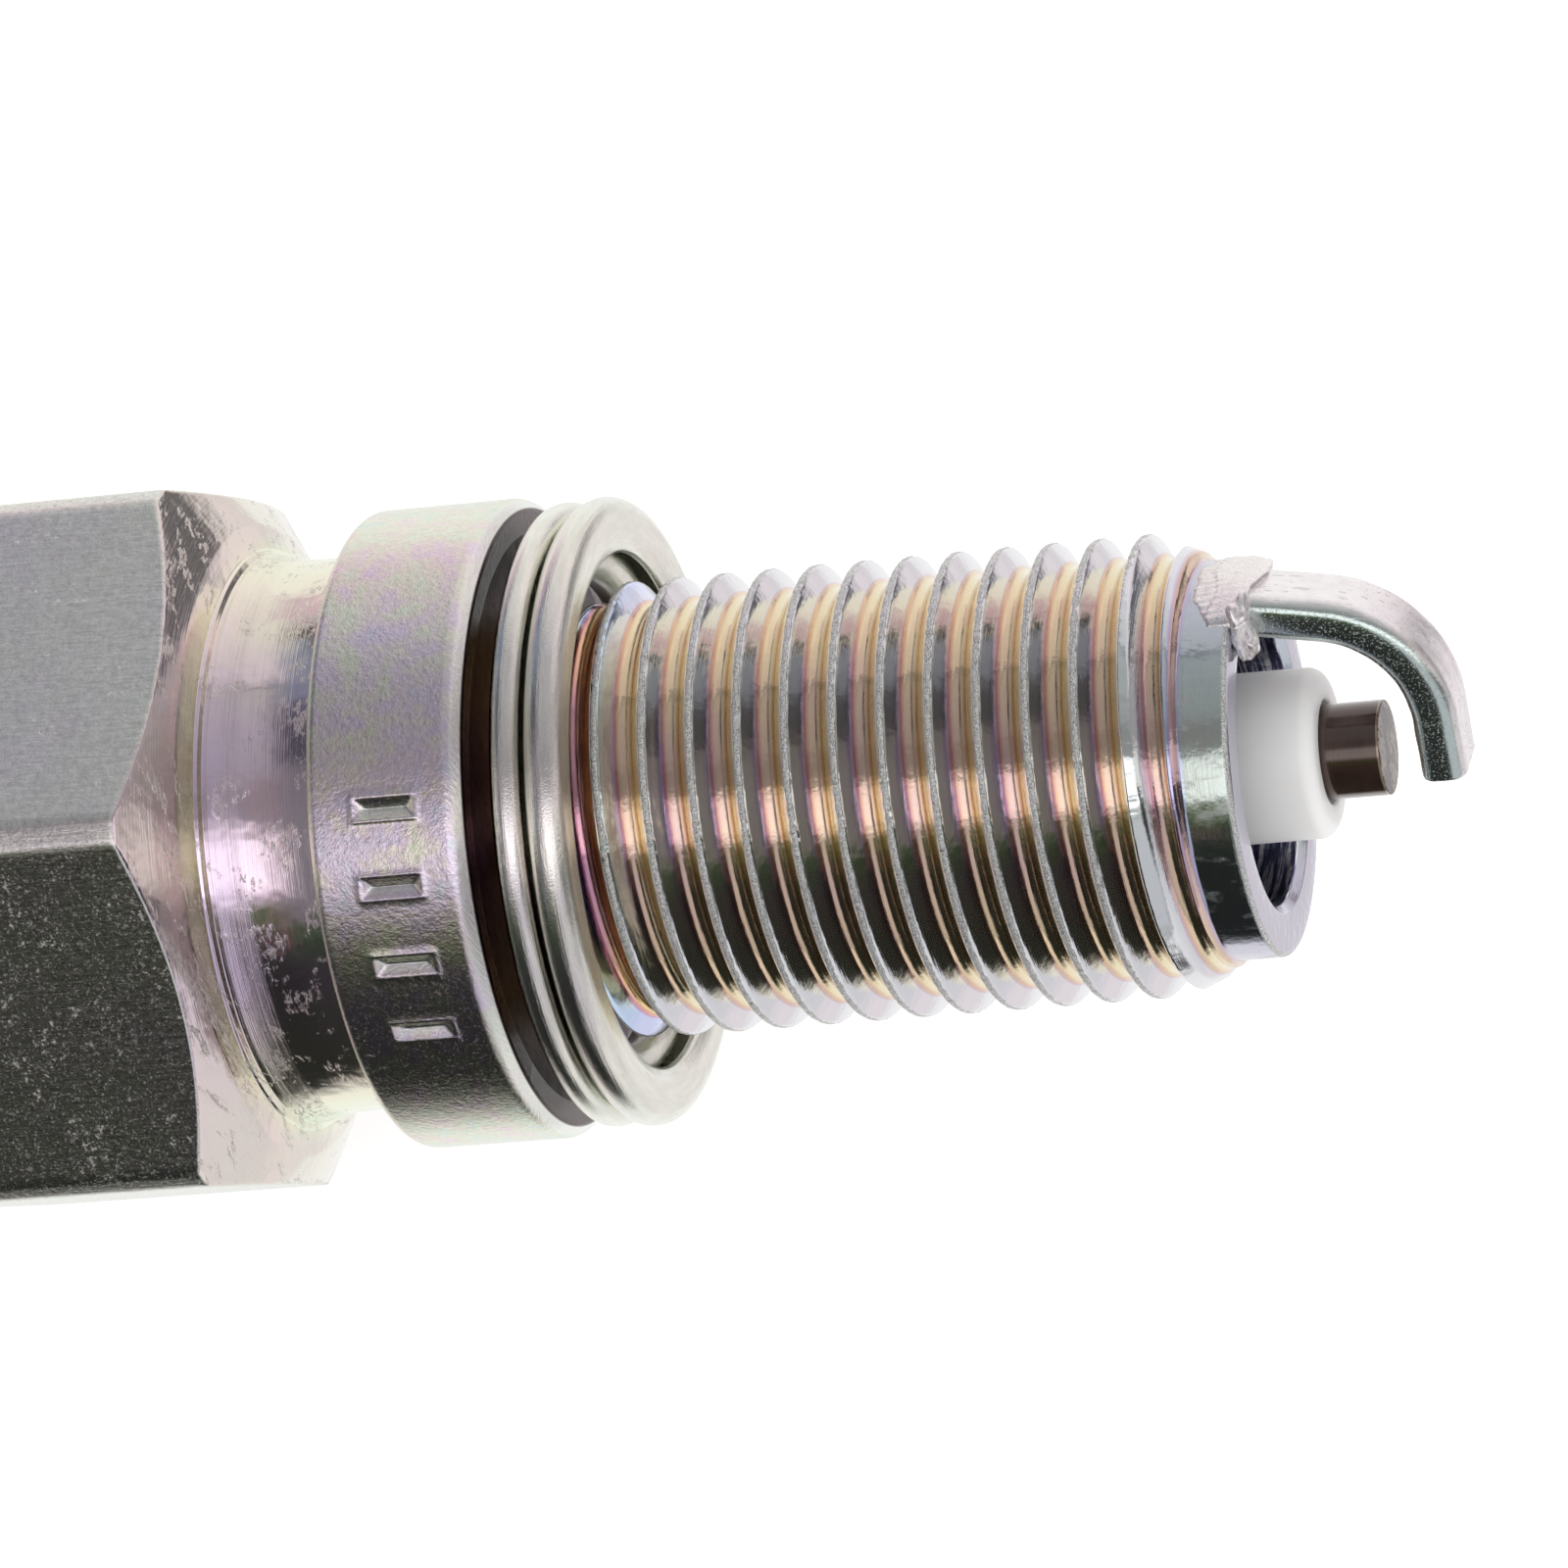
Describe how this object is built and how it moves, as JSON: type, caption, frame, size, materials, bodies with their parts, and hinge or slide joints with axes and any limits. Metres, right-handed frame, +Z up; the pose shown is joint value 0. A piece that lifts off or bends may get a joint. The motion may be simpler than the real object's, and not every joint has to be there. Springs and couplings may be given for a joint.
{
  "type": "spark plug",
  "caption": "Spark plug with a 12 mm thread, folded sealing gasket, hexagon, projected nose, hooked ground electrode and a screw-on terminal nut.",
  "frame": {"origin": "on the plug's axis, in the plane of the collar's seat face", "axes": "+X along the axis towards the firing end, +Z up with the plug lying on a hexagon flat"},
  "size_m": [0.0745, 0.0204, 0.018],
  "materials": {
    "zinc_plated_steel": "bright zinc plate with a thin iridescent passivation film",
    "gasket_steel": "satin plated sheet steel",
    "nickel_alloy": "satin nickel alloy wire",
    "weld_metal": "lumpy bright weld metal",
    "alumina": "white alumina, glazed above the rim and bare on the nose",
    "electrode_alloy": "dark heat-treated nickel alloy",
    "copper": "drawn copper",
    "packing_steel": "soft steel",
    "talc": "pressed powder",
    "seal_glass": "fused conductive glass",
    "resistor_compound": "fired carbon and glass compound",
    "terminal_steel": "nickel-plated steel"
  },
  "bodies": {
    "plug": {"shell": "zinc_plated_steel", "ground_electrode": "nickel_alloy", "ground_electrode_weld": "weld_metal", "insulator": "alumina", "center_electrode": "electrode_alloy", "center_electrode_core": "copper", "seat_packing": "packing_steel", "lower_wire_ring": "packing_steel", "talc_packing": "talc", "upper_wire_ring": "packing_steel", "lower_glass_seal": "seal_glass", "resistor": "resistor_compound", "upper_glass_seal": "seal_glass", "terminal_stud": "terminal_steel"},
    "gasket": {"gasket": "gasket_steel"},
    "terminal_nut": {"terminal_nut": "terminal_steel"}
  },
  "joints": [
    {"name": "gasket_play", "type": "slide", "parent": "plug", "child": "gasket", "axis": [1, 0, 0], "range_m": [-0.00058, 0.0006]},
    {"name": "terminal_nut_off", "type": "slide", "parent": "plug", "child": "terminal_nut", "axis": [-1, 0, 0], "range_m": [0, 0.008]}
  ]
}
